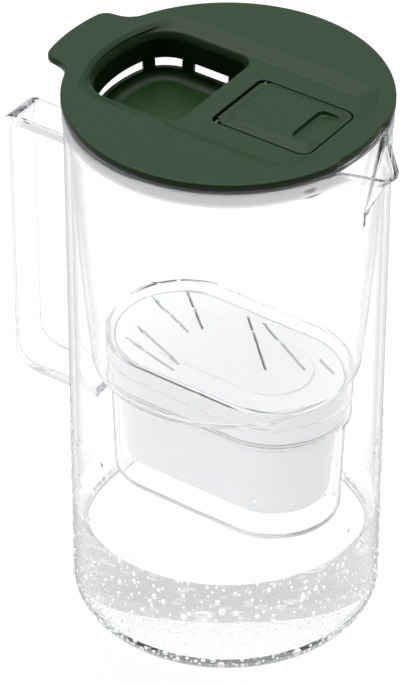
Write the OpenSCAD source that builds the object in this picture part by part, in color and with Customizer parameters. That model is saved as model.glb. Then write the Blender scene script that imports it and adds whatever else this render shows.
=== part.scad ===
// Water filter pitcher: clear jug with a squared loop handle, clear funnel,
// oval filter cartridge, and a round lid with an open fill basin and a flip hatch.
// +X points from the handle to the spout, +Z is up, the origin is on the jug's axis at the table.

/* [Jug] */
// Outside diameter of the jug wall
jug_d = 148; // [144:0.2:180]
// Height of the jug rim above the table
jug_h = 275; // [240:0.5:330]
// Thickness of the jug wall
jug_wall = 2.8; // [2.4:0.1:3.4]
// Thickness of the jug floor
jug_floor = 6; // [4:0.5:9]
// Radius of the bottom corner, outside
base_corner_r = 6; // [4:0.5:8]
// Height of the thicker band at the rim
rim_band_h = 6.5; // [4:0.5:10]
// How far the rim band stands out from the wall
rim_band_t = 0.5; // [0.2:0.1:0.8]

/* [Spout] */
// How far the lip reaches out from the jug wall
spout_reach = 15; // [12:0.5:22]
// Half of the spout's width at the rim
spout_half_w = 23; // [18:0.5:26]
// Radius of the lip's tip
spout_tip_r = 8.5; // [5:0.5:10]
// How far the tip lies below the rim
spout_drop = 7.5; // [3:0.5:9]
// Height of the spout's throat on the wall
spout_depth = 34; // [28:1:50]
// Wall thickness of the spout
spout_wall = 2.2; // [1.8:0.1:2.8]

/* [Handle] */
// Distance from the jug's axis to the back of the handle
handle_back = 122; // [112:1:150]
// Height of the top face of the upper bar
handle_top = 229.5; // [190:0.5:240]
// Height of the bottom face of the lower bar
handle_bottom = 83; // [60:0.5:110]
// Width of the strap, side to side
handle_w = 20; // [16:0.5:28]
// Thickness of the strap
handle_t = 5.6; // [4:0.1:8]
// Outside radius of the upper corner
handle_top_r = 8; // [7:0.5:14]
// Outside radius of the lower corner
handle_low_r = 17; // [12:0.5:24]

/* [Funnel] */
// Gap between the funnel and the jug's inside
funnel_gap = 0.8; // [0.5:0.1:1.5]
// Thickness of the funnel wall
funnel_wall = 2; // [1.6:0.1:2.4]
// Thickness of the flange that hangs on the jug rim
flange_t = 2.5; // [2:0.1:3.5]
// How far the flange stays back from the jug's outside
flange_inset = 0.4; // [0.2:0.1:1]
// Height of the ledge around the cartridge
ledge_z = 141.5; // [130:0.5:160]
// Height of the wide band under the ledge
band_h = 14; // [10:0.5:18]
// Half-width of the wide band
band_half_w = 38; // [37:0.5:44]
// Free height between the cartridge and the well's floor
well_space = 9; // [6:0.5:14]
// Width of an outlet slot in the well's floor
outlet_w = 3; // [2:0.5:3.5]
// Number of outlet slots
outlet_n = 7; // [3:1:9]

/* [Cartridge] */
// Length of the cartridge's collar
cart_l = 120.6; // [110:0.2:121]
// Width of the cartridge's collar
cart_w = 67; // [60:0.5:70]
// Height of the collar
collar_h = 18; // [12:0.5:22]
// Height of the body below the collar
cup_h = 47; // [36:0.5:56]
// How far the body steps in under the collar
collar_step = 3; // [2.6:0.1:4]
// How far the body's sides draw in towards the bottom
cup_draft = 4; // [2:0.5:6]
// Thickness of the cup and cover walls
cup_wall = 1.6; // [1.2:0.1:2]
// Width of the slits in the cover
slit_w = 1.3; // [0.8:0.1:2]

/* [Lid] */
// How far the lid stands out past the jug wall
lid_overhang = 1; // [0.8:0.1:2]
// Height of the lid's edge
lid_t = 3.5; // [3:0.1:5]
// Radius of the lid's upper edge
lid_edge_r = 1.2; // [0.6:0.1:1.6]
// Depth of the trench that runs from handle to spout
trench_depth = 3; // [2:0.1:3.5]
// Half-width of the trench at the lid's top
trench_half_w = 39; // [36:0.5:44]
// How far the trench's side walls slope in
trench_slope = 5.7; // [3:0.1:8]
// Distance from the lid's edge to the trench's handle end
trench_margin = 8.5; // [8.4:0.1:12]
// Radius of the trench's corners
trench_corner_r = 12; // [8:0.5:14]
// How far the thumb tab reaches past the lid's edge
tab_reach = 13; // [9:0.5:16]
// Half-width of the thumb tab
tab_half_w = 23.5; // [18:0.5:28]
// Half-width of the pouring notch in the lid's edge
notch_half_w = 19; // [12:0.5:24]
// Depth of the pouring notch
notch_depth = 1.8; // [1:0.1:2.4]

/* [Fill basin] */
// Half-width of the fill opening
fill_half_w = 30.3; // [26:0.1:32]
// Distance from the jug's axis to the opening's straight edge
fill_edge = 8.5; // [7.5:0.5:14]
// Depth of the basin's floor below the lid's top
basin_depth = 26; // [22:0.5:34]
// Height of the see-through slots
basin_slot_h = 5; // [3:0.5:7]
// Height of the slots above the basin's floor
basin_slot_lift = 5.3; // [4:0.1:8]
// Width of the ribs between the slots
basin_rib_w = 6; // [4:0.5:8]
// Thickness of the basin's walls
basin_wall = 1.8; // [1.4:0.1:2.2]

/* [Flip hatch] */
// Distance from the jug's axis to the hatch's free edge
hatch_end = 55; // [50:0.5:56]
// Half-width of the hatch
hatch_half_w = 20; // [16:0.5:22]
// Distance from the jug's axis to the hinge
hinge_x = 6.6; // [6:0.2:9]
// Gap around the hatch
hatch_gap = 0.6; // [0.4:0.1:0.9]
// How far the hatch's pillow stands above the trench floor
pillow_h = 1.5; // [0.8:0.1:2]
// Length of the finger scoop
scoop_l = 13.5; // [10:0.5:16]
// Half-width of the finger scoop
scoop_half_w = 12.5; // [9:0.5:14]
// Diameter of the hinge pin
pin_d = 2; // [1.6:0.1:2]

/* [Reminder dial] */
// Diameter of the dial
dial_d = 30; // [24:0.5:34]
// Thickness of the dial
dial_t = 3.3; // [2.6:0.1:4]
// Depth of the tray under the hatch
tray_depth = 14; // [13:0.5:18]
// Diameter of the dial's hub
hub_d = 5; // [4:0.2:6]

/* [Hidden] */
eps = 0.01;
thin = 0.05;
overrun = 5;
running_fit = 0.05;
seat_gap = 0.3;
weld_gap = 0.05;
round_fn = 96;
hull_fn = 40;

jug_r = jug_d / 2;
jug_in_r = jug_r - jug_wall;
spout_tip_x = jug_r + spout_reach - spout_tip_r;
spout_root_x = sqrt(pow(jug_in_r, 2) - pow(spout_half_w, 2));
spout_root_r = 0.5;
spout_throat_r = jug_wall - spout_root_r;
spout_lip = 1;

cart_r = cart_w / 2;
cart_half = cart_l / 2;
collar_gap = 0.7;
seal_t = 1.3;
seal_inset = 0.2;
funnel_top_r = jug_in_r - funnel_gap;
funnel_foot_r = cart_half + collar_gap + funnel_wall + seat_gap;
funnel_steps = 12;
band_step = 0.15;
band_half = funnel_foot_r - band_step;
flange_r = jug_r - flange_inset;
flange_top = jug_h + flange_t;
pour_side_n = 2;
pour_step_a = 5;
pour_slot_t = 1.4;
pour_slot_w = 4;
collar_top = ledge_z - 4.5;
collar_bottom = collar_top - collar_h;
cup_bottom = collar_bottom - cup_h;
seat_z = collar_bottom - seal_t;
well_bottom = cup_bottom - well_space - funnel_wall;
well_draft = 2;
well_gap = 1.2;
cup_half = cart_half - collar_step;
cup_r = cart_r - collar_step;
cup_slot_side_n = 5;
cup_slot_pitch = 7;
cup_slot_w = 2.4;
panel_inset_l = 14;
panel_inset_w = 12;
panel_h = 0.8;
cover_skirt = 6;
mesh_t = 1.2;
mesh_drop = 2;

lid_r = jug_r + lid_overhang;
lid_bottom = flange_top;
lid_top = lid_bottom + lid_t;
lid_web = 2.4;
lid_pocket_r = flange_r - 2.6;
edge_steps = 3;
trench_z = lid_top - trench_depth;
trench_r = lid_r - trench_margin;
tub_bottom = trench_z - trench_depth;
tub_wall = 2;
trench_end_slope = 5.3;
trench_shift = -2.2;
fill_slope = 3;
fill_corner_r = 18;
fill_edge_r = 6;
fill_margin = 0.2;
skirt_t = 1.2;
skirt_h = 7.5;
skirt_gap = 0.5;
skirt_r = funnel_top_r - funnel_wall - skirt_gap;
tab_r = lid_r + tab_reach;
tab_corner_r = 7;
tab_blend_r = 12;
plan_steps = 24;
corner_steps = 6;
notch_a = asin((notch_half_w - 3) / lid_r);
notch_ramp_a = 4.6;
notch_end_a = notch_a + notch_ramp_a;
notch_steps = 12;

fill_r = trench_r - trench_end_slope;
basin_floor = lid_top - basin_depth;
basin_draft = 1.7;
basin_bend = 5;
bend_steps = 3;
basin_slot_end = 20;
basin_rib_x = 42.5;
basin_rib_angle = 36;
basin_rib_root = 30;

barrel_r = 1.7;
hinge_z = trench_z - barrel_r;
barrel_half_l = hatch_half_w - 3;
pin_half_l = hatch_half_w + 5;
hatch_bottom = tub_bottom + seat_gap;
hatch_corner_r = 5;
hinge_corner_r = 3.5;
hatch_open_x0 = hinge_x - barrel_r - 0.8;
pillow_inset = 1;
pillow_slope = 4.2;
scoop_x = hatch_end - scoop_l;
scoop_depth = 0.6;
scoop_rise = 0.9;
scoop_flat = 3.5;
scoop_lean = 1;
scoop_end = hatch_end - 3;

tray_wall = 1.6;
tray_lip = 0.8;
tray_corner_r = 5;
tray_x0 = hinge_x - 4.6;
tray_x1 = hatch_end + 2.2;
tray_half_w = hatch_half_w + 2.5;
tray_floor = tub_bottom - tray_depth + tray_wall;
dial_x = (tray_x0 + tray_x1) / 2;
dial_z = tray_floor + seat_gap + 0.1;
hub_head_r = hub_d / 2 + 1.5;
hub_head_t = 0.8;
dial_step = 1;
dial_notch_n = 12;
dial_notch_r = 1.4;

// Points along an arc, from angle a0 to angle a1
function arc(centre, r, a0, a1, steps) = [for (i = [0:steps])
    let (a = a0 + (a1 - a0) * i / steps)
        centre + r * [cos(a), sin(a)]];

// The same outline on the other side of the X axis, run backwards
function mirrored(points) = [for (i = [len(points) - 1:-1:0]) [points[i][0], -points[i][1]]];

// Plan shape with straight sides and round ends, centred on the axis
module stadium(half_l, r, fn = round_fn) {
    square([2 * (half_l - r), 2 * r], center = true);
    for (side = [-1, 1])
        translate([side * (half_l - r), 0])
            circle(r = r, $fn = fn);
}

// Stadium prism from z0 up to z1
module stadium_prism(half_l, r, z0, z1) {
    translate([0, 0, z0])
        linear_extrude(z1 - z0)
            stadium(half_l, r);
}

// Drafted stadium block, narrower by draft at its bottom
module stadium_block(half_l, r, z0, z1, draft) {
    hull() {
        translate([0, 0, z1 - thin])
            linear_extrude(thin)
                stadium(half_l, r, hull_fn);
        translate([0, 0, z0])
            linear_extrude(thin)
                stadium(half_l - draft, r - draft, hull_fn);
    }
}

// Rectangle from (x0, -half_w) to (x1, half_w) with round corners
module round_rect(x0, x1, half_w, r) {
    translate([x0 + r, -half_w + r])
        offset(r = r, $fn = hull_fn)
            square([x1 - x0 - 2 * r, 2 * (half_w - r)]);
}

// Half outline of the jug's outside
module jug_outline() {
    difference() {
        square([jug_r, jug_h]);
        translate([jug_r - base_corner_r, 0])
            square(base_corner_r);
    }
    translate([jug_r - base_corner_r, base_corner_r])
        circle(r = base_corner_r, $fn = round_fn);
    translate([0, jug_h - rim_band_h])
        square([jug_r + rim_band_t, rim_band_h]);
}

// Half outline of the jug's hollow
module jug_hollow_outline() {
    inner_r = base_corner_r - jug_wall / 2;
    translate([0, jug_floor + inner_r])
        square([jug_in_r, jug_h]);
    translate([0, jug_floor])
        square([jug_in_r - inner_r, inner_r + eps]);
    intersection() {
        translate([jug_in_r - inner_r, jug_floor + inner_r])
            circle(r = inner_r, $fn = round_fn);
        translate([0, jug_floor])
            square([jug_in_r, inner_r + eps]);
    }
}

// Spout form: a wide rim, a round tip and a narrow foot on the wall
module spout_form(inset, rise) {
    hull() {
        for (side = [-1, 1])
            translate([spout_root_x - inset, side * (spout_half_w - inset), jug_h - spout_lip])
                cylinder(r = spout_root_r, h = spout_lip + rise, $fn = hull_fn);
        translate([spout_tip_x, 0, jug_h - spout_drop - spout_lip])
            cylinder(r = spout_tip_r - inset, h = spout_lip + rise, $fn = hull_fn);
        translate([jug_in_r - inset, 0, jug_h - spout_depth + 2 * inset])
            sphere(r = spout_throat_r, $fn = hull_fn / 2);
    }
}

module jug_body() {
    color("white", 0.3)
        difference() {
            union() {
                rotate([0, 0, 90])
                    rotate_extrude($fn = round_fn)
                        jug_outline();
                spout_form(0, 0);
            }
            rotate([0, 0, 90])
                rotate_extrude($fn = round_fn)
                    jug_hollow_outline();
            spout_form(spout_wall, overrun);
        }
}

// Side view of the handle loop, run on into the jug
module handle_loop(inset, run) {
    back = -handle_back + inset;
    hull() {
        translate([back + handle_top_r - inset, handle_top - handle_top_r])
            circle(r = handle_top_r - inset, $fn = hull_fn);
        translate([back + handle_low_r - inset, handle_bottom + handle_low_r])
            circle(r = handle_low_r - inset, $fn = hull_fn);
        translate([-jug_r, handle_bottom + inset])
            square([run, handle_top - handle_bottom - 2 * inset]);
    }
}

module jug_handle() {
    color("white", 0.4)
        difference() {
            rotate([90, 0, 0])
                linear_extrude(handle_w, center = true)
                    difference() {
                        handle_loop(0, handle_t);
                        handle_loop(handle_t, 2 * handle_t);
                    }
            cylinder(r = jug_r + weld_gap, h = jug_h, $fn = round_fn);
        }
}

// Outside radius of the funnel at share t of its height, from ledge to rim
function funnel_r(t) = funnel_foot_r + (funnel_top_r - funnel_foot_r) * (1 - pow(1 - t, 2));

// Half outline of the funnel's wall from height z0 to the rim, moved in by inset
function funnel_side(inset, z0) = [for (i = [0:funnel_steps])
    let (t = i / funnel_steps)
        [funnel_r(t) - inset, z0 + t * (jug_h - z0)]];

module funnel() {
    color("white", 0.35)
        difference() {
            union() {
                rotate_extrude($fn = round_fn)
                    polygon(concat([[0, ledge_z - funnel_wall]], funnel_side(0, ledge_z - funnel_wall),
                                   [[0, jug_h]]));
                translate([0, 0, jug_h])
                    cylinder(r = flange_r, h = flange_t, $fn = round_fn);
                stadium_prism(band_half, band_half_w, ledge_z - band_h, ledge_z);
                stadium_prism(cart_half + collar_gap + funnel_wall, cart_r + collar_gap + funnel_wall,
                              seat_z - funnel_wall, ledge_z - band_h);
                stadium_block(cup_half + well_gap + funnel_wall, cup_r + well_gap + funnel_wall,
                              well_bottom, seat_z, well_draft);
            }
            // hopper, open at the top
            rotate_extrude($fn = round_fn)
                polygon(concat([[0, ledge_z]], funnel_side(funnel_wall, ledge_z),
                               [[funnel_top_r - funnel_wall, flange_top + overrun],
                                [0, flange_top + overrun]]));
            // seat for the cartridge's collar
            stadium_prism(band_half - funnel_wall + band_step, band_half_w - funnel_wall,
                          ledge_z - band_h + funnel_wall, ledge_z + eps);
            stadium_prism(cart_half + collar_gap, cart_r + collar_gap, seat_z, ledge_z);
            // well around the cartridge's body
            stadium_block(cup_half + well_gap, cup_r + well_gap,
                          well_bottom + funnel_wall, seat_z + eps, well_draft);
            outlet_slots();
            pour_slots();
        }
}

// Row of slots in the well's floor
module outlet_slots() {
    pitch = 2 * (cup_half - cup_r) / (outlet_n - 1);
    for (i = [0:outlet_n - 1])
        translate([(i - (outlet_n - 1) / 2) * pitch, 0, well_bottom + funnel_wall / 2])
            cube([outlet_w, cup_r, 2 * funnel_wall], center = true);
}

// Pouring slots through the flange above the spout
module pour_slots() {
    for (i = [-pour_side_n:pour_side_n])
        rotate([0, 0, pour_step_a * i])
            translate([(funnel_top_r + flange_r) / 2, 0, jug_h + flange_t / 2])
                cube([pour_slot_t, pour_slot_w, 2 * flange_t], center = true);
}

module cartridge_cup() {
    inner_half = cup_half - cup_wall;
    inner_r = cup_r - cup_wall;
    color("white")
        difference() {
            union() {
                stadium_prism(cart_half, cart_r, collar_bottom, collar_top);
                stadium_block(cup_half, cup_r, cup_bottom, collar_bottom, cup_draft);
            }
            stadium_prism(cart_half - cup_wall, cart_r - cup_wall,
                          collar_bottom + cup_wall, collar_top + eps);
            stadium_block(inner_half, inner_r,
                          cup_bottom + cup_wall, collar_bottom + cup_wall + eps, cup_draft);
            for (i = [-cup_slot_side_n:cup_slot_side_n])
                translate([cup_slot_pitch * i, 0, cup_bottom])
                    cube([cup_slot_w, cup_r, 4 * cup_wall], center = true);
        }
}

// Ends of each slit in the cover, from the rim towards the middle
SLITS = [[[-54, 14], [-23, 1]], [[-44, 29], [-19, 7]], [[-46, -9], [-13, -21]],
         [[-45, -19], [-12, -26]], [[-7, 28], [23, -2]], [[2, 28], [38, 8]], [[40, 19], [50, 14]]];
// Share of its length at which a slit is bridged
SLIT_BRIDGES = [0.5, 0.52, 0, 0.4, 0.3, 0.42, 0];
slit_bridge_l = 2.2;

// One straight slit between two points, with round ends
module slit(from, to) {
    run = to - from;
    half = norm(run) / 2;
    translate((from + to) / 2)
        rotate([0, 0, atan2(run[1], run[0])])
            polygon(concat(arc([half, 0], slit_w / 2, -90, 90, corner_steps),
                           arc([-half, 0], slit_w / 2, 90, 270, corner_steps)));
}

module cover_slits() {
    for (i = [0:len(SLITS) - 1]) {
        from = SLITS[i][0];
        to = SLITS[i][1];
        run = norm(to - from);
        along = (to - from) / run;
        middle = run * SLIT_BRIDGES[i];
        if (SLIT_BRIDGES[i] == 0)
            slit(from, to);
        else {
            slit(from, from + along * (middle - slit_bridge_l / 2));
            slit(from + along * (middle + slit_bridge_l / 2), to);
        }
    }
}

module cartridge_cover() {
    cover_half = cart_half - cup_wall - seat_gap;
    cover_r = cart_r - cup_wall - seat_gap;
    color("whitesmoke")
        difference() {
            union() {
                stadium_prism(cover_half, cover_r, collar_top - cover_skirt, collar_top);
                stadium_prism(cover_half - panel_inset_l, cover_r - panel_inset_w,
                              collar_top - eps, collar_top + panel_h);
            }
            stadium_prism(cover_half - cup_wall, cover_r - cup_wall,
                          collar_top - cover_skirt - eps, collar_top - cup_wall);
            translate([0, 0, collar_top - 2 * cup_wall])
                linear_extrude(4 * cup_wall)
                    cover_slits();
        }
}

module cartridge_seal() {
    color("lightgray")
        difference() {
            stadium_prism(cart_half - seal_inset, cart_r - seal_inset, seat_z, collar_bottom);
            stadium_prism(cup_half + seat_gap, cup_r + seat_gap, seat_z - eps, collar_bottom + eps);
        }
}

// Share of the cup's draft at height z
function cup_inset(z) = cup_draft * (collar_bottom - z) / cup_h;

// Block that fills the cup between two heights, clear of its wall
module cup_fill(z0, z1) {
    inset = cup_wall + seat_gap + cup_inset(z1);
    stadium_block(cup_half - inset, cup_r - inset, z0, z1, cup_inset(z0) - cup_inset(z1));
}

media_top = collar_bottom - mesh_drop;
media_bottom = cup_bottom + cup_wall + mesh_t;

module upper_mesh() {
    color("gainsboro")
        cup_fill(media_top, media_top + mesh_t);
}

module filter_media() {
    color("dimgray")
        cup_fill(media_bottom, media_top);
}

module lower_mesh() {
    color("gainsboro")
        cup_fill(cup_bottom + cup_wall, media_bottom);
}

// Lid radius at angle a from the spout, drawn in along the pouring notch
function lid_edge(a) = let (ramp = min(1, max(0, (abs(a) - notch_a) / notch_ramp_a)))
    lid_r - notch_depth * (1 + cos(180 * ramp)) / 2;

// Centre of the tab's corner, which touches the tab's outer arc from inside
function tab_corner() = [-sqrt(pow(tab_r - tab_corner_r, 2) - pow(tab_half_w - tab_corner_r, 2)),
                         tab_half_w - tab_corner_r];

// Centre of the concave curve between the lid's edge and the tab's corner
function blend_centre() = let (
    corner = tab_corner(),
    span = norm(corner),
    reach = lid_r + tab_blend_r,
    along = (span * span + reach * reach - pow(tab_corner_r + tab_blend_r, 2)) / (2 * span),
    up = sqrt(reach * reach - along * along),
    unit = corner / span)
        along * unit + up * [unit[1], -unit[0]];

// Plan of one half of the lid, from the spout round to the tab
function lid_half() = let (
    corner = tab_corner(),
    corner_a = atan2(corner[1], corner[0]),
    blend = blend_centre(),
    blend_a = atan2(blend[1], blend[0]),
    turn = blend - corner,
    turn_a = atan2(turn[1], turn[0]))
        concat([for (i = [0:notch_steps])
                   let (a = notch_end_a * i / notch_steps)
                       lid_edge(a) * [cos(a), sin(a)]],
               arc([0, 0], lid_r, notch_end_a, blend_a, 2 * plan_steps),
               arc(blend, tab_blend_r, blend_a - 180, turn_a - 180, corner_steps),
               arc(corner, tab_corner_r, turn_a, corner_a, corner_steps),
               arc([0, 0], tab_r, corner_a, 180, corner_steps));

// Plan of the lid with its thumb tab and pouring notch
module lid_outline() {
    polygon(concat(lid_half(), mirrored(lid_half())));
}

// Upper half of a plan: a disc cut by a straight side, with round corners.
// The end towards the spout is cut off straight at cut_x when that is given.
function disc_half(r, shift, half_w, corner_r, cut_x, cut_r) = let (
    reach = sqrt(pow(r - corner_r, 2) - pow(half_w - corner_r, 2)),
    corner_a = atan2(half_w - corner_r, reach))
        concat(cut_x == undef
                   ? concat(arc([shift, 0], r, 0, corner_a, plan_steps / 2),
                            arc([shift + reach, half_w - corner_r], corner_r, corner_a, 90, corner_steps))
                   : concat([[cut_x, 0]],
                            arc([cut_x - cut_r, half_w - cut_r], cut_r, 0, 90, corner_steps)),
               arc([shift - reach, half_w - corner_r], corner_r, 90, 180 - corner_a, corner_steps),
               arc([shift, 0], r, 180 - corner_a, 180, plan_steps / 2));

module disc_plan(r, shift, half_w, corner_r, cut_x, cut_r) {
    half = disc_half(r, shift, half_w, corner_r, cut_x, cut_r);
    polygon(concat(half, mirrored(half)));
}

// Trench form between its floor and the lid's top, moved out by grow
module trench_form(grow, z0, z1) {
    hull() {
        translate([0, 0, z1])
            linear_extrude(thin)
                disc_plan(trench_r + grow, 0, trench_half_w + grow, trench_corner_r + grow);
        translate([0, 0, z0])
            linear_extrude(thin)
                disc_plan(fill_r + grow, trench_shift, trench_half_w - trench_slope + grow,
                          trench_corner_r + grow);
    }
}

// Fill opening plan, moved out by grow
module fill_plan(grow) {
    disc_plan(fill_r - fill_margin + grow, trench_shift, fill_half_w + grow,
              fill_corner_r + grow, grow - fill_edge, fill_edge_r + grow);
}

// Lid plate with its upper edge rounded in steps
module lid_plate() {
    translate([0, 0, lid_bottom])
        linear_extrude(lid_t - lid_edge_r)
            lid_outline();
    for (i = [1:edge_steps])
        translate([0, 0, lid_top - lid_edge_r])
            linear_extrude(lid_edge_r * sin(90 * i / edge_steps))
                offset(delta = -lid_edge_r * (1 - cos(90 * i / edge_steps)))
                    lid_outline();
}

module lid_shell() {
    color("darkgreen")
        difference() {
            union() {
                difference() {
                    lid_plate();
                    translate([0, 0, lid_bottom - eps])
                        cylinder(r = lid_pocket_r, h = lid_t - lid_web + eps, $fn = round_fn);
                }
                trench_form(tub_wall, tub_bottom, lid_top - lid_edge_r);
                translate([0, 0, lid_bottom - skirt_h])
                    difference() {
                        cylinder(r = skirt_r, h = skirt_h + lid_t - lid_web + eps, $fn = round_fn);
                        translate([0, 0, -eps])
                            cylinder(r = skirt_r - skirt_t, h = skirt_h + eps, $fn = round_fn);
                    }
            }
            trench_form(0, trench_z, lid_top);
            // slope down into the fill opening
            hull() {
                translate([0, 0, trench_z])
                    linear_extrude(thin)
                        fill_plan(fill_slope / 2);
                translate([0, 0, tub_bottom - eps])
                    linear_extrude(thin)
                        fill_plan(0);
            }
            // hatch opening, with tighter corners where the hatch swings up
            translate([0, 0, tub_bottom - overrun])
                linear_extrude(trench_depth + 2 * overrun) {
                    round_rect(hatch_open_x0, hatch_end + hatch_gap,
                               hatch_half_w + hatch_gap, hatch_corner_r + hatch_gap);
                    round_rect(hatch_open_x0, hatch_end / 2, hatch_half_w + hatch_gap, hinge_corner_r);
                }
            // bores for the hinge pin
            translate([hinge_x, 0, hinge_z])
                rotate([90, 0, 0])
                    cylinder(d = pin_d + 2 * running_fit, h = 2 * pin_half_l + 2 * seat_gap,
                             center = true, $fn = hull_fn);
        }
}

// Basin form: drafted walls and a bent floor edge, moved in by inset
module basin_form(inset, lift) {
    hull() {
        translate([0, 0, tub_bottom - thin + lift])
            linear_extrude(thin)
                fill_plan(basin_wall - inset);
        for (i = [0:bend_steps])
            translate([0, 0, basin_floor - basin_wall + inset + basin_bend * (1 - sin(90 * i / bend_steps))])
                linear_extrude(thin)
                    fill_plan(basin_wall - inset - basin_draft - basin_bend * (1 - cos(90 * i / bend_steps)));
    }
}

module splash_basin() {
    color("darkgreen")
        difference() {
            basin_form(0, 0);
            basin_form(basin_wall, eps + thin);
            translate([0, 0, basin_floor + basin_slot_lift])
                linear_extrude(basin_slot_h)
                    difference() {
                        translate([-2 * fill_r, -2 * fill_half_w])
                            square([2 * fill_r - basin_slot_end, 4 * fill_half_w]);
                        for (side = [-1, 1]) {
                            translate([-basin_rib_x, side * fill_half_w])
                                square([basin_rib_w, fill_half_w], center = true);
                            translate([-basin_rib_root, 0])
                                rotate([0, 0, 180 - side * basin_rib_angle])
                                    translate([0, -basin_rib_w / 2])
                                        square([fill_r, basin_rib_w]);
                        }
                    }
        }
}

module flip_hatch() {
    color("darkgreen")
        difference() {
            union() {
                translate([hinge_x, 0, hinge_z])
                    rotate([90, 0, 0])
                        cylinder(r = barrel_r, h = 2 * barrel_half_l, center = true, $fn = round_fn);
                translate([0, 0, hatch_bottom])
                    linear_extrude(trench_z - hatch_bottom)
                        round_rect(hinge_x, hatch_end, hatch_half_w, hatch_corner_r);
                hull() {
                    translate([0, 0, trench_z - thin])
                        linear_extrude(thin)
                            round_rect(hinge_x + 2 * pillow_inset, hatch_end - pillow_inset,
                                       hatch_half_w - pillow_inset, hatch_corner_r - pillow_inset);
                    translate([0, 0, trench_z + pillow_h - thin])
                        linear_extrude(thin)
                            round_rect(hinge_x + pillow_slope, hatch_end - pillow_slope,
                                       hatch_half_w - pillow_slope - pillow_inset,
                                       hatch_corner_r - pillow_inset);
                }
            }
            // finger scoop, undercut at its lip and shallow towards the free edge
            rotate([90, 0, 0])
                linear_extrude(2 * scoop_half_w, center = true)
                    polygon([[scoop_x + scoop_lean, trench_z + pillow_h + overrun],
                             [scoop_x, trench_z],
                             [scoop_x + scoop_lean, trench_z - scoop_depth],
                             [scoop_x + scoop_flat, trench_z - scoop_depth],
                             [scoop_end, trench_z + scoop_rise],
                             [scoop_end, trench_z + pillow_h + overrun]]);
            translate([hinge_x, 0, hinge_z])
                rotate([90, 0, 0])
                    cylinder(d = pin_d + 2 * running_fit, h = 3 * hatch_half_w, center = true, $fn = hull_fn);
        }
}

module hatch_pin() {
    color("silver")
        translate([hinge_x, 0, hinge_z])
            rotate([90, 0, 0])
                cylinder(d = pin_d, h = 2 * pin_half_l, center = true, $fn = hull_fn);
}

module dial_tray() {
    color("seagreen")
        difference() {
            translate([0, 0, tub_bottom - tray_depth])
                linear_extrude(tray_depth)
                    round_rect(tray_x0, tray_x1, tray_half_w, tray_corner_r);
            translate([0, 0, tray_floor])
                linear_extrude(tray_depth)
                    round_rect(tray_x0 + tray_wall, hatch_end - tray_lip,
                               hatch_half_w - tray_lip, tray_corner_r - tray_wall);
        }
}

module reminder_dial() {
    color("ivory")
        translate([dial_x, 0, dial_z])
            difference() {
                union() {
                    cylinder(d = dial_d, h = dial_t - dial_step, $fn = round_fn);
                    cylinder(d = dial_d - 3 * dial_step, h = dial_t, $fn = round_fn);
                }
                for (i = [0:dial_notch_n - 1])
                    rotate([0, 0, 360 * i / dial_notch_n])
                        translate([dial_d / 2 + dial_notch_r / 2, 0, -eps])
                            cylinder(r = dial_notch_r, h = dial_t + overrun, $fn = hull_fn / 2);
                translate([0, 0, -eps])
                    cylinder(d = hub_d + 2 * running_fit, h = dial_t + overrun, $fn = round_fn);
            }
}

module dial_hub() {
    color("gray")
        translate([dial_x, 0, tray_floor]) {
            cylinder(d = hub_d, h = dial_z + dial_t + 2 * seat_gap - tray_floor, $fn = round_fn);
            translate([0, 0, dial_z + dial_t + seat_gap - tray_floor])
                cylinder(r = hub_head_r, h = hub_head_t, $fn = round_fn);
        }
}

jug_body();
jug_handle();
funnel();
cartridge_cup();
cartridge_cover();
cartridge_seal();
upper_mesh();
filter_media();
lower_mesh();
lid_shell();
splash_basin();
flip_hatch();
hatch_pin();
dial_tray();
reminder_dial();
dial_hub();
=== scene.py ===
# %% [markdown]
# # A water filter pitcher, dressed for its picture
#
# The CAD model already has every part at its size and place. This lesson gives
# each part its finish, and remodels the ones whose smooth or clear surfaces the
# camera looks at closely. All lengths are in metres, and MM turns millimetres
# from the CAD drawing into them.

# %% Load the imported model
import math
import random

import bmesh
import bpy
import numpy as np
from mathutils import Matrix, Vector


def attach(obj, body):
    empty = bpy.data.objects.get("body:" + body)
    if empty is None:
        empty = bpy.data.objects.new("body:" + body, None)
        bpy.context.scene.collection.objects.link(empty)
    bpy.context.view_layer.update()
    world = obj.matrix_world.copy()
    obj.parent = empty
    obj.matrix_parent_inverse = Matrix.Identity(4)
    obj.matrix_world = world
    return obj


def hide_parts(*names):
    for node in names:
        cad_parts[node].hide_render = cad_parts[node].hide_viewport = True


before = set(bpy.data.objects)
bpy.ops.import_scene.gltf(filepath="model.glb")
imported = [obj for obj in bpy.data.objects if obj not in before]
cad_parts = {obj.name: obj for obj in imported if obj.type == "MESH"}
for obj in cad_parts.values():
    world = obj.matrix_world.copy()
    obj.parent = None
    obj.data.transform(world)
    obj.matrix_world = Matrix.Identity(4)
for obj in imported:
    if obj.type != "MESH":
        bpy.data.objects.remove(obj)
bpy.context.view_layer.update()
MM = 0.001

# %% [markdown]
# ## The camera
#
# The photograph was taken with a long lens from a little above, so upright
# edges stay almost parallel. The camera stands on the pourer's right, and the
# three directions below are its own right, up and back.

# %% Place the camera
camera_right = Vector((0.8197, 0.5728, 0.0))
camera_up = Vector((-0.3431, 0.4910, 0.8007))
camera_back = Vector((0.4587, -0.6563, 0.5990))
camera_place = Vector((811.7, -1183.5, 1214.2)) * MM

camera_data = bpy.data.cameras.new("photo_camera")
camera_data.lens = 201.5
camera_data.sensor_width = 36
camera_data.clip_start = 0.05
camera_data.clip_end = 60
camera = bpy.data.objects.new("photo_camera", camera_data)
bpy.context.collection.objects.link(camera)
turn = Matrix((camera_right, camera_up, camera_back)).transposed().to_4x4()
camera.matrix_world = Matrix.Translation(camera_place) @ turn
bpy.context.scene.camera = camera
print("camera", round(camera_place.length, 3), "m away, lens", camera_data.lens, "mm")

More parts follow.
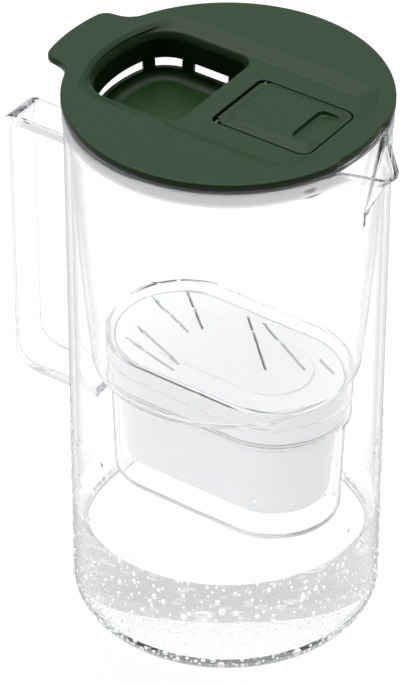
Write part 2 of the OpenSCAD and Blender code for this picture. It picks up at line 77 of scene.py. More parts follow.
# %% [markdown]
# ## Floor and light
#
# A clear object is drawn by what it bends into view, so the studio matters as
# much as the material. The floor is white and runs far back, and a wide soft
# light hangs above and behind. The floor glows a little, so it stays white under
# the jug.

# %% Lay the floor
def deselect():
    if bpy.context.object and bpy.context.object.mode != "OBJECT":
        bpy.ops.object.mode_set(mode="OBJECT")
    bpy.ops.object.select_all(action="DESELECT")


def empty_material(name):
    """A new material with its Principled shader, its nodes and its links."""
    material = bpy.data.materials.new(name)
    material.use_nodes = True
    nodes = material.node_tree.nodes
    print("material", name)
    return material, nodes, material.node_tree.links, nodes["Principled BSDF"]


deselect()
bpy.ops.mesh.primitive_plane_add(size=14, location=(0, 0, -0.4 * MM))
floor = bpy.context.object
floor.name = "studio_floor"
floor_paint, _, _, floor_shader = empty_material("floor_paint")
floor_shader.inputs["Base Color"].default_value = (0.55, 0.55, 0.55, 1)
floor_shader.inputs["Roughness"].default_value = 0.8
floor_shader.inputs["Specular IOR Level"].default_value = 0.0
floor_shader.inputs["Emission Color"].default_value = (1, 1, 1, 1)
floor_shader.inputs["Emission Strength"].default_value = 0.55
floor.data.materials.append(floor_paint)

# %% Hang the softbox
def soft_light(name, place, target, size, power):
    data = bpy.data.lights.new(name, "AREA")
    data.shape = "RECTANGLE"
    data.size, data.size_y = size
    data.energy = power
    lamp = bpy.data.objects.new(name, data)
    bpy.context.collection.objects.link(lamp)
    lamp.location = place
    aim = Vector(target) - Vector(place)
    lamp.rotation_euler = aim.to_track_quat("-Z", "Y").to_euler()
    lamp.visible_glossy = False
    print(name, size, "m,", power, "W")


soft_light("overhead_softbox", (-0.25, 0.45, 2.3), (0, 0, 0.15), (1.5, 1.5), 12)

# %% [markdown]
# ## Three skies
#
# One even sky would leave either the glass or the lid wrong. So the air round
# the object has three brightnesses, chosen by the kind of ray that reaches it:
# one for what is seen straight or through clear walls, one for light that falls
# on outer surfaces, mostly from above and behind, and one for light that has
# passed a clear wall and reaches the parts inside the jug.

# %% Helpers for the world's nodes
world = bpy.data.worlds.new("studio_air")
bpy.context.scene.world = world
world.use_nodes = True
sky_nodes, sky_links = world.node_tree.nodes, world.node_tree.links


def math_node(operation, *values):
    """A Math node on numbers or sockets, and its result."""
    node = sky_nodes.new("ShaderNodeMath")
    node.operation = operation
    for socket, value in zip(node.inputs, values):
        if isinstance(value, (int, float)):
            socket.default_value = value
        else:
            sky_links.new(value, socket)
    return node.outputs[0]


def scaled_colour(colour, factor):
    node = sky_nodes.new("ShaderNodeVectorMath")
    node.operation = "SCALE"
    sky_links.new(colour, node.inputs[0])
    sky_links.new(factor, node.inputs["Scale"])
    return node.outputs[0]


def chosen(factor, first, second):
    """The first colour where the factor is 0, and the second where it is 1."""
    mix = sky_nodes.new("ShaderNodeMix")
    mix.data_type = "RGBA"
    factor_in, first_in, second_in, colour_out = 0, 6, 7, 2
    sky_links.new(factor, mix.inputs[factor_in])
    sky_links.new(first, mix.inputs[first_in])
    sky_links.new(second, mix.inputs[second_in])
    return mix.outputs[colour_out]


# %% Build the three skies
direction = sky_nodes.new("ShaderNodeTexCoord")
toward = sky_nodes.new("ShaderNodeSeparateXYZ")
sky_links.new(direction.outputs["Generated"], toward.inputs[0])
steepness = math_node("MULTIPLY_ADD", toward.outputs["Z"], 0.5, 0.5)


def sky(stops):
    """Brightness from straight down (0) over the horizon (0.5) to straight up (1)."""
    ramp = sky_nodes.new("ShaderNodeValToRGB")
    while len(ramp.color_ramp.elements) < len(stops):
        ramp.color_ramp.elements.new(0.5)
    for element, (place, light) in zip(ramp.color_ramp.elements, stops):
        element.position = place
        element.color = (light, light * 1.003, light * 1.008, 1)
    sky_links.new(steepness, ramp.inputs["Fac"])
    return ramp.outputs["Color"]


def leaning(x_share, y_share):
    """One overhead, more on the side that the two shares point to, less opposite."""
    part = math_node("MULTIPLY_ADD", toward.outputs["Y"], y_share, 1.0)
    return math_node("MULTIPLY_ADD", toward.outputs["X"], x_share, part)


seen = sky([(0.5, 0.93), (0.8, 0.64), (0.97, 1.0)])
from_behind = math_node("MAXIMUM", leaning(-0.57, 0.82), 0.12)
outer_sky = sky([(0.5, 0.20), (0.8, 0.31), (0.9, 1.1), (0.98, 1.7)])
on_surfaces = scaled_colour(outer_sky, from_behind)
inside_jug = scaled_colour(sky([(0.4, 0.16), (0.55, 0.26), (0.8, 1.8)]), leaning(-0.5, -0.3))

route = sky_nodes.new("ShaderNodeLightPath")
through_wall = math_node("MINIMUM", route.outputs["Transparent Depth"], 1.0)
bounced = chosen(through_wall, on_surfaces, inside_jug)
air_colour = chosen(route.outputs["Is Reflection Ray"], seen, bounced)
sky_links.new(air_colour, sky_nodes["Background"].inputs["Color"])
sky_nodes["Background"].inputs["Strength"].default_value = 1.0
print("the world has", len(sky_nodes), "nodes")

# %% [markdown]
# ## How light passes the clear parts
#
# Clear plastic throws almost no shadow. Its material lets shadow and diffuse
# rays straight through, so light focused by the glass is left out, and the
# bounce limits are raised because one line of sight can pass ten surfaces here.

# %% Set the light paths
scene = bpy.context.scene
scene.view_settings.view_transform = "Standard"
scene.view_settings.look = "None"
scene.view_settings.exposure = 0.0
scene.cycles.max_bounces = 32
scene.cycles.transmission_bounces = 32
scene.cycles.transparent_max_bounces = 32
scene.cycles.glossy_bounces = 12
scene.cycles.caustics_refractive = False
scene.cycles.caustics_reflective = False
print("up to", scene.cycles.max_bounces, "bounces")

# %% [markdown]
# ## Moulded finishes
#
# Every moulded part has a skin: a fine grain from the tool, a slight change of
# gloss over its length, and edges that are never quite sharp. The Bevel node
# rounds the light on an edge without adding faces. The green lid's upright walls
# are also dimmed: they are nearly black in the photo, and the light here would
# leave them too bright. So this is a stand-in for light, not a property of the
# plastic.

# %% Satin plastic for lid, cartridge and dial
def add_node(nodes, kind, **values):
    """A new node. Each value's name is its socket's name, with _ for a space."""
    node = nodes.new(kind)
    for name, value in values.items():
        node.inputs[name.replace("_", " ")].default_value = value
    return node


def satin_plastic(name, colour, roughness, grain, edge, specular=0.5):
    material, nodes, links, shader = empty_material(name)
    place = nodes.new("ShaderNodeTexCoord")
    cloud = add_node(nodes, "ShaderNodeTexNoise", Scale=14, Detail=3)
    tone = add_node(nodes, "ShaderNodeMapRange", To_Min=0.94, To_Max=1.05)
    shade = nodes.new("ShaderNodeMix")
    shade.data_type = "RGBA"
    shade.blend_type = "MULTIPLY"
    shade.inputs["Factor"].default_value = 1
    shade.inputs["A"].default_value = (*colour, 1)
    gloss = add_node(nodes, "ShaderNodeMapRange",
                     To_Min=roughness - 0.03, To_Max=roughness + 0.05)
    speckle = add_node(nodes, "ShaderNodeTexNoise", Scale=2600, Detail=2)
    rounded = add_node(nodes, "ShaderNodeBevel", Radius=edge)
    rounded.samples = 4
    skin = add_node(nodes, "ShaderNodeBump", Strength=grain, Distance=0.05 * MM)
    links.new(place.outputs["Object"], cloud.inputs["Vector"])
    links.new(place.outputs["Object"], speckle.inputs["Vector"])
    links.new(cloud.outputs["Fac"], tone.inputs["Value"])
    links.new(cloud.outputs["Fac"], gloss.inputs["Value"])
    links.new(tone.outputs["Result"], shade.inputs["B"])
    links.new(shade.outputs["Result"], shader.inputs["Base Color"])
    links.new(gloss.outputs["Result"], shader.inputs["Roughness"])
    links.new(speckle.outputs["Fac"], skin.inputs["Height"])
    links.new(rounded.outputs["Normal"], skin.inputs["Normal"])
    links.new(skin.outputs["Normal"], shader.inputs["Normal"])
    shader.inputs["Specular IOR Level"].default_value = specular
    return material


# %% Paint shade on the upright walls of a satin plastic
def dim_walls(material, share):
    """Painted shade: scales colour and gloss by the share on walls, and leaves flat tops as they
    are.
    """
    nodes, links = material.node_tree.nodes, material.node_tree.links
    shader = nodes["Principled BSDF"]
    colour = shader.inputs["Base Color"].links[0].from_socket
    surface = nodes.new("ShaderNodeNewGeometry")
    tilt = nodes.new("ShaderNodeSeparateXYZ")
    lit = add_node(nodes, "ShaderNodeMapRange", From_Min=0.1, From_Max=0.75, To_Min=share)
    dimmed = nodes.new("ShaderNodeVectorMath")
    dimmed.operation = "SCALE"
    shine = nodes.new("ShaderNodeMath")
    shine.operation = "MULTIPLY"
    shine.inputs[1].default_value = shader.inputs["Specular IOR Level"].default_value
    links.new(surface.outputs["Normal"], tilt.inputs[0])
    links.new(tilt.outputs["Z"], lit.inputs["Value"])
    links.new(colour, dimmed.inputs[0])
    links.new(lit.outputs[0], dimmed.inputs["Scale"])
    links.new(lit.outputs[0], shine.inputs[0])
    links.new(dimmed.outputs[0], shader.inputs["Base Color"])
    links.new(shine.outputs[0], shader.inputs["Specular IOR Level"])


# %% Mix the satin plastics
green = (0.0115, 0.044, 0.009)
# The lid's material darkens its upright walls: painted shade, not a property of the plastic.
lid_green = satin_plastic("lid_green_satin_wall_shade", green, 0.36, 0.08, 0.4 * MM, 0.38)
dim_walls(lid_green, 0.3)
hatch_green = satin_plastic("hatch_green_satin", green, 0.36, 0.08, 0.4 * MM, 0.38)
cartridge_white = satin_plastic("cartridge_white_satin", (0.84, 0.845, 0.855), 0.38, 0.05, 0.4 * MM)
# The cup is the cover's white made darker: painted shade for its sides under the lid.
cup_shaded_white = satin_plastic("cup_satin_painted_shade", (0.67, 0.675, 0.69), 0.38, 0.05, 0.4 * MM)
dial_white = satin_plastic("dial_white_satin", (0.8, 0.8, 0.78), 0.4, 0.05, 0.3 * MM)
seal_grey = satin_plastic("seal_grey_rubber", (0.55, 0.56, 0.56), 0.7, 0.2, 0.3 * MM)

# %% [markdown]
# ## Steel, grains and mesh
#
# The hinge pin is plain steel, made darker than bare steel: painted shade, so the
# pin seen in the hatch's gap stays dark. The filter's filling is a bed of dark
# grains, and white nylon mesh holds it in. The photo shows none of them, so each
# gets one simple pattern for colour and relief: cells for the grains, fine ribs
# for the mesh.

# %% Steel pin, filter grains and mesh
pin_steel, _, _, pin_shader = empty_material("pin_dark_steel_shaded")
# Darker than bare steel: painted shade for the pin seen in the hatch's gap.
pin_shader.inputs["Base Color"].default_value = (0.16, 0.17, 0.17, 1)
pin_shader.inputs["Metallic"].default_value = 1.0
pin_shader.inputs["Roughness"].default_value = 0.42


def bumpy(name, kind, settings, low, high, roughness, depth):
    """A dull material whose colour and relief both follow one texture."""
    material, nodes, links, shader = empty_material(name)
    place = nodes.new("ShaderNodeTexCoord")
    pattern = add_node(nodes, kind, **settings)
    shades = nodes.new("ShaderNodeValToRGB")
    shades.color_ramp.elements[0].color = (*low, 1)
    shades.color_ramp.elements[1].color = (*high, 1)
    relief = add_node(nodes, "ShaderNodeBump", Strength=0.8, Distance=depth)
    links.new(place.outputs["Object"], pattern.inputs["Vector"])
    links.new(pattern.outputs[0], shades.inputs["Fac"])
    links.new(shades.outputs["Color"], shader.inputs["Base Color"])
    links.new(pattern.outputs[0], relief.inputs["Height"])
    links.new(relief.outputs["Normal"], shader.inputs["Normal"])
    shader.inputs["Roughness"].default_value = roughness
    return material


filter_grains = bumpy("filter_grains_dark", "ShaderNodeTexVoronoi", {"Scale": 900.0},
                      (0.09, 0.085, 0.08), (0.32, 0.31, 0.29), 0.8, 0.5 * MM)
mesh_white = bumpy("mesh_white_nylon", "ShaderNodeTexWave", {"Scale": 260.0, "Distortion": 0.4},
                   (0.5, 0.5, 0.49), (0.8, 0.8, 0.78), 0.6, 0.2 * MM)

# %% [markdown]
# ## Clear finishes
#
# Clear plastic and water bend light and soak up a little of it on the way. Where
# their surface turns away from the eye a grey is mixed in, painted shade for the
# dark edges that reflections give real clear walls. Real clear plastic is never
# quite flat either, so a wide, weak bump makes what is behind it swim. The jug's
# rim band looks grey, so a dull grey is mixed in there as a painted reflection.
# Droplets get a faint glow, painted light standing in for the light that real ones
# focus.

# %% Clear plastic and water
def clear_plastic(name, roughness, density, wave=0.02, ior=1.49, edge_shade_share=0.0):
    material, nodes, links, shader = empty_material(name)
    shader.inputs["Base Color"].default_value = (1, 1, 1, 1)
    shader.inputs["Transmission Weight"].default_value = 1
    shader.inputs["Roughness"].default_value = roughness
    shader.inputs["IOR"].default_value = ior
    place = nodes.new("ShaderNodeTexCoord")
    flow = add_node(nodes, "ShaderNodeTexNoise", Scale=22, Detail=1)
    ripple = add_node(nodes, "ShaderNodeBump", Strength=wave, Distance=1 * MM)
    links.new(place.outputs["Object"], flow.inputs["Vector"])
    links.new(flow.outputs["Fac"], ripple.inputs["Height"])
    links.new(ripple.outputs["Normal"], shader.inputs["Normal"])

    # Painted shade: a grey is mixed in where the surface turns away from the eye, standing in for
    # the dark edges that reflections give real clear walls.
    facing = add_node(nodes, "ShaderNodeLayerWeight", Blend=0.5)
    turned = add_node(nodes, "ShaderNodeMapRange",
                      From_Min=0.70, From_Max=0.97, To_Max=edge_shade_share)
    turned.interpolation_type = "SMOOTHSTEP"
    grey = add_node(nodes, "ShaderNodeBsdfTransparent", Color=(0.6, 0.605, 0.62, 1))
    edge_shaded = nodes.new("ShaderNodeMixShader")
    links.new(facing.outputs["Facing"], turned.inputs["Value"])
    links.new(turned.outputs[0], edge_shaded.inputs["Fac"])
    links.new(shader.outputs[0], edge_shaded.inputs[1])
    links.new(grey.outputs[0], edge_shaded.inputs[2])

    path = nodes.new("ShaderNodeLightPath")
    straight = nodes.new("ShaderNodeMath")
    straight.operation = "MAXIMUM"
    lamp_way = add_node(nodes, "ShaderNodeBsdfTransparent", Color=(0.985, 0.987, 0.987, 1))
    either = nodes.new("ShaderNodeMixShader")
    links.new(path.outputs["Is Shadow Ray"], straight.inputs[0])
    links.new(path.outputs["Is Diffuse Ray"], straight.inputs[1])
    links.new(straight.outputs[0], either.inputs["Fac"])
    links.new(edge_shaded.outputs[0], either.inputs[1])
    links.new(lamp_way.outputs[0], either.inputs[2])

    depth = add_node(nodes, "ShaderNodeVolumeAbsorption",
                     Color=(0.5, 0.54, 0.56, 1), Density=density)
    out = nodes["Material Output"]
    links.new(either.outputs[0], out.inputs["Surface"])
    links.new(depth.outputs[0], out.inputs["Volume"])
    return material


# %% Painted reflection on the jug's rim band
def mist_rim(material, share):
    """Mixes a dull grey into the surface above the jug's wall, but not on the spout: a painted
    reflection.
    """
    nodes, links = material.node_tree.nodes, material.node_tree.links
    out = nodes["Material Output"]
    clear = out.inputs["Surface"].links[0].from_socket
    place = nodes.new("ShaderNodeTexCoord")
    spot = nodes.new("ShaderNodeSeparateXYZ")
    flat = nodes.new("ShaderNodeVectorMath")
    flat.operation = "MULTIPLY"
    flat.inputs[1].default_value = (1, 1, 0)
    radius = nodes.new("ShaderNodeVectorMath")
    radius.operation = "LENGTH"
    above = add_node(nodes, "ShaderNodeMapRange", From_Min=267.8 * MM, From_Max=269.4 * MM)
    within = add_node(nodes, "ShaderNodeMapRange", From_Min=76.2 * MM, From_Max=74.8 * MM)
    both = nodes.new("ShaderNodeMath")
    both.operation = "MULTIPLY"
    amount = nodes.new("ShaderNodeMath")
    amount.operation = "MULTIPLY"
    amount.inputs[1].default_value = share
    # Painted reflection: a dull grey standing in for what the rim band reflects and shows through
    # it.
    painted_grey = add_node(nodes, "ShaderNodeBsdfDiffuse", Color=(0.42, 0.425, 0.435, 1))
    rim_painted = nodes.new("ShaderNodeMixShader")
    links.new(place.outputs["Object"], spot.inputs[0])
    links.new(place.outputs["Object"], flat.inputs[0])
    links.new(flat.outputs[0], radius.inputs[0])
    links.new(spot.outputs["Z"], above.inputs["Value"])
    links.new(radius.outputs["Value"], within.inputs["Value"])
    links.new(above.outputs[0], both.inputs[0])
    links.new(within.outputs[0], both.inputs[1])
    links.new(both.outputs[0], amount.inputs[0])
    links.new(amount.outputs[0], rim_painted.inputs["Fac"])
    links.new(clear, rim_painted.inputs[1])
    links.new(painted_grey.outputs[0], rim_painted.inputs[2])
    links.new(rim_painted.outputs[0], out.inputs["Surface"])


# %% Mix the clear materials
water_ior = 1.333
clear_jug = clear_plastic("jug_clear_plastic", 0.0, 7, edge_shade_share=0.75)
mist_rim(clear_jug, 0.42)
clear_funnel = clear_plastic("funnel_clear_plastic", 0.015, 6, edge_shade_share=0.5)
water_clear = clear_plastic("filtered_water", 0.0, 0.6, 0.0, water_ior)
drop_clear = clear_plastic("droplet_water", 0.0, 0.6, 0.0, water_ior, edge_shade_share=0.6)
drop_shader = drop_clear.node_tree.nodes["Principled BSDF"]
drop_shader.inputs["Emission Color"].default_value = (1, 1, 1, 1)
drop_shader.inputs["Emission Strength"].default_value = 0.09

# %% [markdown]
# ## Pulling a ring through outlines
#
# Most parts here are drawn from a ring: start with a circle, set its points on
# the part's outline, extrude the ring's edges, and set the new ring on the next
# outline. Each point keeps its number, which is how it finds its place. A long
# flat stretch gets an extra ring near each end, so that the smooth shading of a
# rounded edge doesn't creep into it. On glass that would bend the view.

# %% Draw a part from rings of points
held_gap, long_stretch = 0.5 * MM, 3 * MM


def set_ring(piece, ring):
    mesh = bmesh.from_edit_mesh(piece.data)
    number = mesh.verts.layers.int["number"]
    for point in mesh.verts:
        if point.select:
            point.co = ring[point[number]]
    bmesh.update_edit_mesh(piece.data)


def draw_from_rings(name, rings):
    """A closed part whose skin runs through the rings, in order, with both ends filled."""
    deselect()
    bpy.ops.mesh.primitive_circle_add(vertices=len(rings[0]), radius=1, fill_type="NOTHING")
    piece = bpy.context.object
    piece.name = name
    bpy.ops.object.mode_set(mode="EDIT")
    mesh = bmesh.from_edit_mesh(piece.data)
    number = mesh.verts.layers.int.new("number")
    for i, point in enumerate(mesh.verts):
        point[number] = i
    bmesh.update_edit_mesh(piece.data)
    set_ring(piece, rings[0])
    for last, ring in zip(rings, rings[1:]):
        far = max((Vector(a) - Vector(b)).length for a, b in zip(last, ring))
        shares = (held_gap / far, 1 - held_gap / far, 1) if far > long_stretch else (1,)
        for share in shares:
            bpy.ops.mesh.extrude_edges_move()
            set_ring(piece, [Vector(a).lerp(Vector(b), share) for a, b in zip(last, ring)])
    bpy.ops.mesh.select_all(action="SELECT")
    bpy.ops.mesh.fill_holes(sides=0)
    bpy.ops.mesh.select_all(action="SELECT")
    bpy.ops.mesh.normals_make_consistent(inside=False)
    if bmesh.from_edit_mesh(piece.data).calc_volume(signed=True) < 0:
        bpy.ops.mesh.flip_normals()
    bpy.ops.object.mode_set(mode="OBJECT")
    print(name, "drawn from", len(rings), "rings")
    return piece


def finish_piece(piece, material, body, slot, *nodes, smooth=35):
    """Smooth shading, its material, the body it rides on and the nodes it stands for."""
    deselect()
    piece.select_set(True)
    bpy.context.view_layer.objects.active = piece
    bpy.ops.object.transform_apply(location=True, rotation=True, scale=True)
    bpy.ops.object.shade_smooth_by_angle(angle=math.radians(smooth))
    piece.data.materials.clear()
    piece.data.materials.append(material)
    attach(piece, body)
    if nodes:
        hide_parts(*nodes)
    print(piece.name, len(piece.data.polygons), "faces")


def cut_or_join(piece, tool, operation):
    """Cuts the tool out of the piece, or joins it on, and takes the tool away."""
    deselect()
    piece.select_set(True)
    bpy.context.view_layer.objects.active = piece
    modifier = piece.modifiers.new("boolean", "BOOLEAN")
    modifier.operation = operation
    modifier.object = tool
    modifier.solver = "MANIFOLD"
    bpy.ops.object.modifier_apply(modifier=modifier.name)
    bpy.data.objects.remove(tool)


def arc_rows(centre_r, centre_z, radius, start, end, steps):
    """Radius and height of points on a small arc of the profile, angles in degrees."""
    rows = []
    for i in range(steps + 1):
        a = math.radians(start + (end - start) * i / steps)
        rows.append((centre_r + radius * math.cos(a), centre_z + radius * math.sin(a)))
    return rows

# %% [markdown]
# ## The jug
#
# The jug is one clear moulding: wall, thick floor, rim band, V spout and loop
# handle. The wall is drawn as rings from the bottom, up the outside, over the
# rim and down the inside. The points crowd together at the spout, where the
# wall has to bend most.

# %% Jug sizes
jug_r, jug_in_r, rim_r, jug_h, jug_floor = 74.0, 71.2, 74.5, 275.0, 6.0
foot_bend, inner_bend = 6.0, 4.6
throat_z, spout_drop, spout_wall = 241.0, 7.5, 2.2
tip_x, tip_r, root_x, root_y = 80.48, 8.5, 67.4, 23.0
throat_r, root_r = 2.3, 0.5
spout_half_angle, crowding = 0.6, 0.68
jug_points = 288
around = [2 * math.pi * i / jug_points for i in range(jug_points)]
around = [a - crowding * math.sin(a) for a in around]
print("jug", 2 * jug_r, "x", jug_h, "mm, wall", round(jug_r - jug_in_r, 2), "mm")

# %% The spout's reach in each direction
def spout_share(height):
    """0 at the spout's throat and below, 1 at the jug's rim."""
    return min(1.0, max(0.0, (height - throat_z) / (jug_h - throat_z)))


def spout_edge(angle, height, inset):
    """How far the V of the spout reaches from the axis, or near zero beside it."""
    t = spout_share(height)
    tip = throat_r * (1 - t) + tip_r * t - inset
    root = throat_r * (1 - t) + root_r * t - inset
    circles = [(jug_in_r + t * (tip_x - jug_in_r), 0.0, tip)]
    for side in (-1, 1):
        circles.append((jug_in_r + t * (root_x - jug_in_r), side * root_y * t, root))
    facing = np.linspace(-1.5, 1.5, 241)
    reach = np.max([x * np.cos(facing) + y * np.sin(facing) + r for x, y, r in circles], axis=0)
    toward = np.cos(facing - angle)
    seen = toward > 0.03
    return float(np.min(np.maximum(reach[seen], 0) / toward[seen]))


def blend_out(a, b, softness=1.6):
    """The larger of two reaches, with a soft corner where they are nearly equal."""
    soft_max = 0.5 * (a + b + math.sqrt((a - b) ** 2 + softness ** 2))
    return soft_max - softness ** 2 / (4 * (abs(a - b) + softness))


def jug_ring(radius, height, inset):
    ring = []
    for angle in around:
        angle = math.atan2(math.sin(angle), math.cos(angle))
        reach = radius
        if height > throat_z and abs(angle) < spout_half_angle:
            reach = max(radius, blend_out(radius, spout_edge(angle, height, inset)))
        out = min(1.0, max(0.0, (reach - radius) / 15))
        lower = spout_drop * out * spout_share(height) ** 2
        x, y = reach * math.cos(angle), reach * math.sin(angle)
        ring.append((x * MM, y * MM, (height - lower) * MM))
    return ring


# %% Draw the jug
outside = [(40.0, 0.0), (66.5, 0.0)]
outside += arc_rows(jug_r - foot_bend, foot_bend, foot_bend, -90, 0, 6)
outside += [(jug_r, z) for z in (60, 120, 180, 215, 234)]
outside += [(jug_r, 240 + 2.6 * i) for i in range(1, 11)]
outside += [(jug_r + 0.1, 267.6), (rim_r - 0.1, 268.4)]
outside += [(rim_r, z) for z in (269.2, 272, 274.2)]
outside += [(rim_r - 0.25, 274.8), (rim_r - 0.8, jug_h)]
inside = [(jug_in_r + 0.8, jug_h), (jug_in_r + 0.2, 274.8), (jug_in_r, 274.0), (jug_in_r, 271)]
inside += [(jug_in_r, 268 - 2.6 * i) for i in range(0, 11)]
inside += [(jug_in_r, z) for z in (236, 215, 180, 120, 60, 20)]
inside += arc_rows(jug_in_r - inner_bend, jug_floor + inner_bend, inner_bend, 0, -90, 6)
inside += [(40.0, jug_floor)]
jug_rings = [jug_ring(r, z, 0.0) for r, z in outside]
jug_rings += [jug_ring(r, z, spout_wall) for r, z in inside]
jug = draw_from_rings("clear_jug", jug_rings)

# %% [markdown]
# ## The handle
#
# The handle is a flat strap bent round two corners, tight above and wide below.
# Its section is a rectangle with soft edges that travels along the path, and
# both ends sink into the wall, where the two clear bodies are joined into one.

# %% Bend the strap
strap_w, strap_t, strap_soft = 20.0, 5.6, 1.4
back_x, top_z, bottom_z = -122.0, 229.5, 83.0
upper_r, lower_r = 8.0, 17.0
wall_x, wall_r = -72.6, 72.6
half_t = strap_t / 2

section = []
for cx, cy, start in ((1, 1, 0), (-1, 1, 90), (-1, -1, 180), (1, -1, 270)):
    for i in range(5):
        a = math.radians(start + 90 * i / 4)
        section.append((cx * (strap_w / 2 - strap_soft) + strap_soft * math.cos(a),
                        cy * (strap_t / 2 - strap_soft) + strap_soft * math.sin(a)))


def bend_path(corner_r, centre_z, start, steps):
    """A quarter turn of the strap's middle line, with its heading in degrees."""
    bend = []
    for i in range(steps + 1):
        a = math.radians(start + 90 * i / steps)
        r = corner_r - half_t
        x, z = back_x + corner_r + r * math.cos(a), centre_z + r * math.sin(a)
        bend.append((x, z, start + 90 + 90 * i / steps))
    return bend


path = [(wall_x, top_z - half_t, 180.0), (-84, top_z - half_t, 180.0)]
path += bend_path(upper_r, top_z - upper_r, 90, 12)
path += [(back_x + half_t, 180.0, 270.0), (back_x + half_t, 130.0, 270.0)]
path += bend_path(lower_r, bottom_z + lower_r, 180, 16)
path += [(-84, bottom_z + half_t, 360.0), (wall_x, bottom_z + half_t, 360.0)]

handle_rings = []
for x, z, heading in path:
    a = math.radians(heading)
    ring = []
    for across, away in section:
        ring_x, ring_z = x + away * math.sin(a), z - away * math.cos(a)
        if x == wall_x:
            ring_x = -math.sqrt(wall_r ** 2 - across ** 2)
        ring.append((ring_x * MM, across * MM, ring_z * MM))
    handle_rings.append(ring)
handle = draw_from_rings("clear_handle", handle_rings)
cut_or_join(jug, handle, "UNION")
finish_piece(jug, clear_jug, "jug", "clear_jug", "jug_body", "jug_handle")

# %% [markdown]
# ## The funnel
#
# The funnel hangs in the jug by its flange. Its bowl is round, and steps down
# to an oval seat and a deeper oval well. The rings are circles above and ovals
# below: an oval is the circle with its two halves pushed apart.

# %% Draw the funnel
def oval_ring(height, half_l, half_w, points=190):
    """An oval with straight sides. With half_l equal to half_w it is a circle."""
    ring = []
    push = half_l - half_w
    for i in range(points):
        a = 2 * math.pi * (i + 0.5) / points
        x = half_w * math.cos(a) + math.copysign(push, math.cos(a))
        ring.append((x * MM, half_w * math.sin(a) * MM, height * MM))
    return ring


def oval_rows(rows, points=190):
    return [oval_ring(z, half_l, half_w, points) for z, half_l, half_w in rows]


bowl_low_z, bowl_low_r, bowl_high_r, funnel_wall = 139.5, 63.3, 70.4, 2.0


def bowl_r(height):
    t = max(0.0, (height - bowl_low_z) / (jug_h - bowl_low_z))
    return bowl_low_r + (bowl_high_r - bowl_low_r) * (1 - (1 - t) ** 2)


def round_rows(rows):
    """Rows of a circle, from pairs of height and radius."""
    return [(z, r, r) for z, r in rows]


# Height, half length and half width of each row: the well, the seat, the oval
# band, the bowl and the flange on the outside, and back down the inside.
outer_rows = [(61.0, 57.6, 30.8), (61.3, 58.3, 31.5), (62.3, 58.7, 31.9), (90, 59.6, 32.8)]
outer_rows += [(115.0, 60.4, 33.6), (115.7, 60.9, 34.1), (115.9, 62.0, 35.2), (116.9, 63.0, 36.2)]
outer_rows += [(126.6, 63.0, 36.2), (127.5, 63.05, 36.6), (127.6, 63.1, 37.2), (128.4, 63.15, 38.0)]
outer_rows += [(138.8, 63.15, 38.0), (139.5, 63.2, 38.6), (139.55, 63.25, 45.0)]
outer_rows += [(139.6, 63.3, 62.6)]
outer_rows += round_rows([(z, bowl_r(z)) for z in (140.3, *range(150, 275, 10))])
outer_rows += round_rows([(274.6, 70.4), (275.05, 70.7), (275.05, 73.2), (275.4, 73.6)])
outer_rows += round_rows([(277.1, 73.6), (277.5, 73.2), (277.5, 68.9), (277.1, 68.4)])
inner_rows = round_rows([(274.6, 68.4)])
inner_rows += round_rows([(z, bowl_r(z - 2) - funnel_wall) for z in range(270, 145, -10)])
inner_rows += [(142.4, 61.5, 61.5), (141.5, 61.4, 60.6), (141.5, 61.3, 37.0), (140.9, 61.3, 36.0)]
inner_rows += [(129.8, 61.25, 36.0), (129.5, 61.2, 35.5), (129.5, 61.1, 34.8), (129.0, 61.0, 34.2)]
inner_rows += [(118.2, 61.0, 34.2), (117.7, 60.6, 33.8), (117.7, 59.0, 32.2), (117.0, 58.5, 31.7)]
inner_rows += [(64.0, 56.6, 29.8), (63.3, 56.2, 29.4), (63.0, 55.4, 28.6)]
funnel = draw_from_rings("clear_funnel", oval_rows(outer_rows + inner_rows))
finish_piece(funnel, clear_funnel, "funnel_unit", "clear_funnel", "funnel")

# %% [markdown]
# ## Outlines of the lid
#
# The lid's shapes are flat outlines made of arcs: its own edge with the thumb
# tab and the pouring notch, the trench, the fill opening and the hatch. Each is
# listed densely once, and read back as a reach in every direction from a centre,
# so that rings with the same number of points can follow any of them.

# %% Arcs and reaches
def arc_points(cx, cy, r, start, end, steps=40):
    """Points on an arc about (cx, cy), angles in degrees."""
    angles = np.radians(np.linspace(start, end, steps + 1))
    return np.column_stack((cx + r * np.cos(angles), cy + r * np.sin(angles)))


def both_halves(half):
    """The upper half of an outline, followed by its mirror image."""
    half = np.vstack(half)
    return np.vstack((half, half[::-1] * (1, -1)))


def reach_ring(outline, height, centre=0.0, count=360):
    """A ring of evenly turned points on an outline, as seen from (centre, 0)."""
    turned = outline - (centre, 0)
    angles = np.arctan2(turned[:, 1], turned[:, 0])
    reach = np.hypot(turned[:, 0], turned[:, 1])
    order = np.argsort(angles)
    wanted = -math.pi + 2 * math.pi * (np.arange(count) + 0.5) / count
    got = np.interp(wanted, angles[order], reach[order], period=2 * math.pi)
    return [((centre + r * math.cos(a)) * MM, r * math.sin(a) * MM, height * MM)
            for a, r in zip(wanted, got)]


def angle_of(x, y):
    return math.degrees(math.atan2(y, x))


# %% The lid's own edge
lid_r, tab_r, corner_r, blend_r, tab_half = 74.98, 88.0, 7.0, 12.0, 23.5
notch, ramp, notch_depth = math.degrees(math.asin(16 / 75)), 4.6, 1.8


